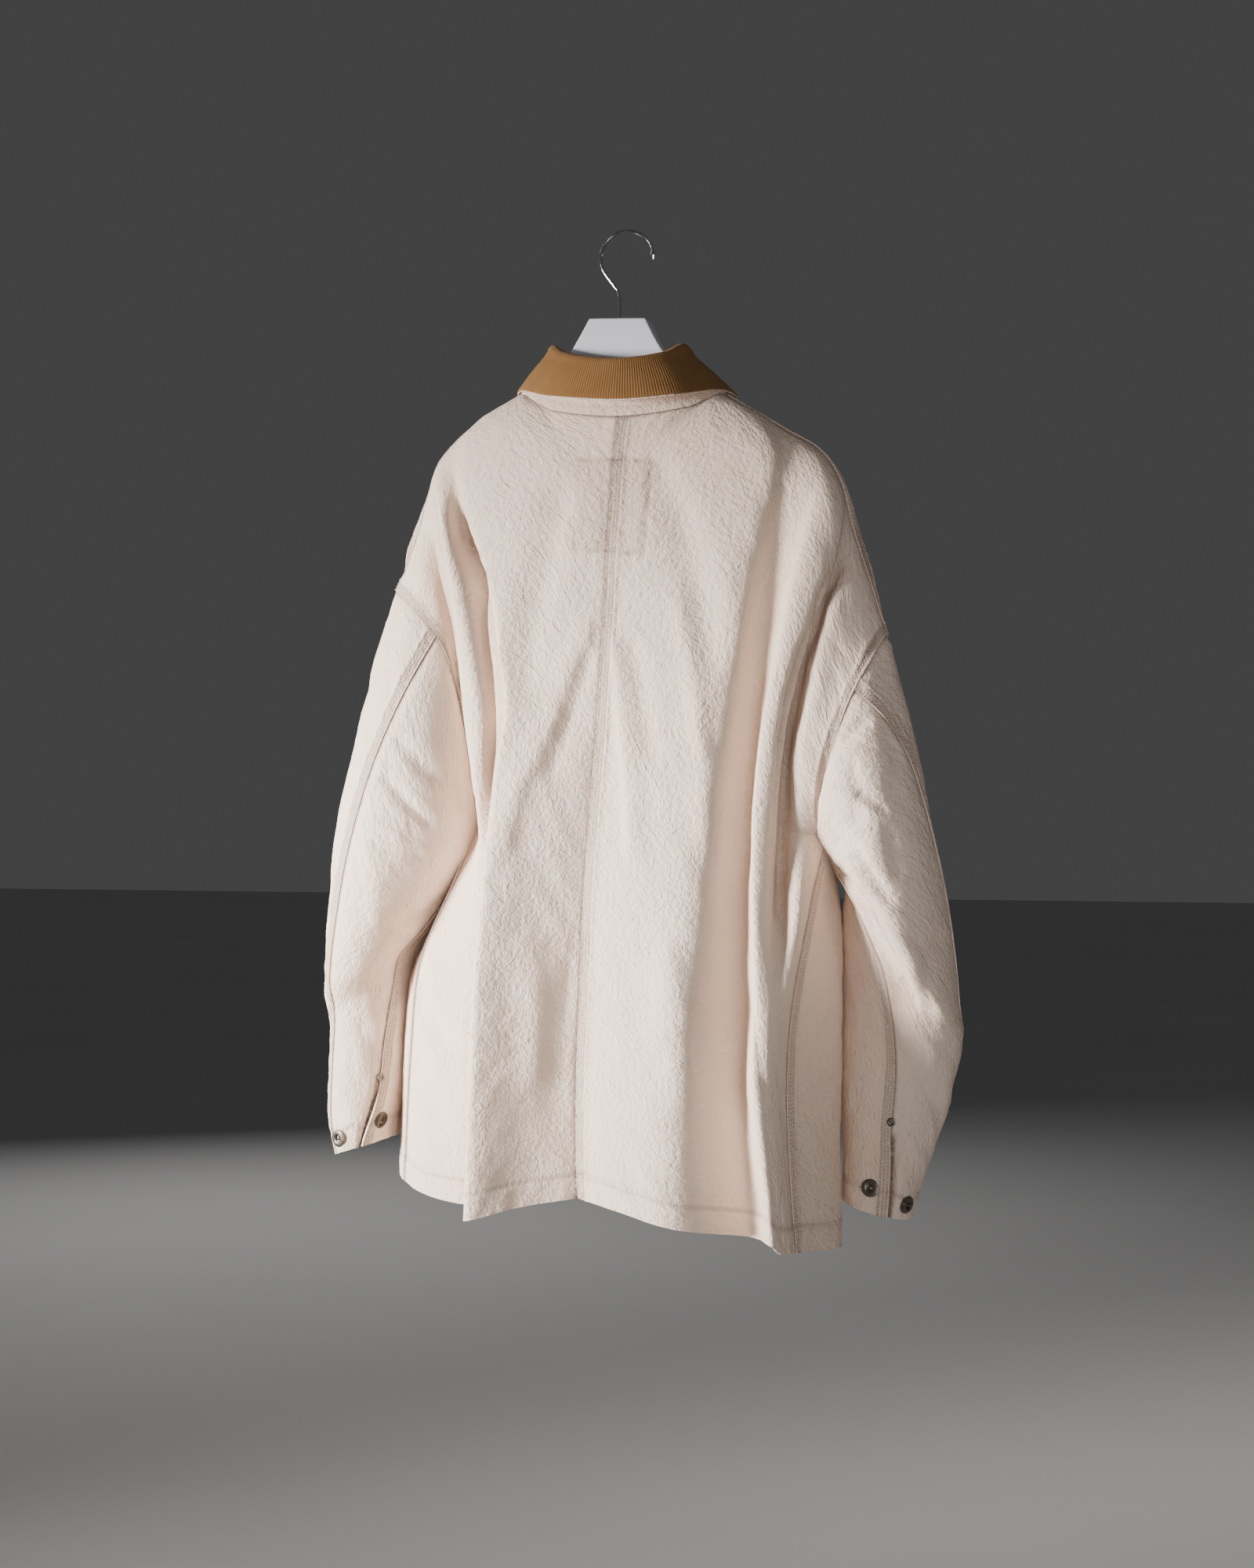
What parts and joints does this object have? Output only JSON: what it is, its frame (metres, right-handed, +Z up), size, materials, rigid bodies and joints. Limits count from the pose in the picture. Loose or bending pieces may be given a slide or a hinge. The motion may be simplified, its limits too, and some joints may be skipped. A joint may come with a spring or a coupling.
{
  "type": "chore jacket on a clothes hanger",
  "caption": "Loose drop-shouldered canvas chore jacket with a corduroy collar, hanging hollow on a moulded hanger with a wire hook.",
  "frame": {"origin": "inside of the top of the hanger's hook, where a rail carries it", "axes": "+Z up, +Y out of the jacket's back, +X towards the wearer's left"},
  "size_m": [0.6119, 0.2656, 0.9459],
  "materials": {
    "canvas": "washed, crinkled cotton canvas",
    "corduroy": "fine-ribbed corduroy",
    "old_nickel": "dark antique-plated tack buttons and rivets",
    "white_plastic": "smooth moulded plastic",
    "chrome_wire": "bright plated wire"
  },
  "bodies": {
    "root": {"back_left": "canvas", "back_right": "canvas", "front_left": "canvas", "front_right": "canvas", "under_sleeve_left": "canvas", "under_sleeve_right": "canvas", "top_sleeve_left": "canvas", "top_sleeve_right": "canvas", "collar_stand": "canvas", "pocket_left": "canvas", "pocket_right": "canvas", "collar_fall": "corduroy", "front_button_1": "old_nickel", "front_button_2": "old_nickel", "front_button_3": "old_nickel", "front_button_4": "old_nickel", "front_button_5": "old_nickel", "cuff_button_left_1": "old_nickel", "cuff_button_left_2": "old_nickel", "cuff_button_right_1": "old_nickel", "cuff_button_right_2": "old_nickel", "vent_rivet_left": "old_nickel", "vent_rivet_right": "old_nickel", "hanger_body": "white_plastic", "hanger_hook": "chrome_wire"}
  },
  "joints": []
}
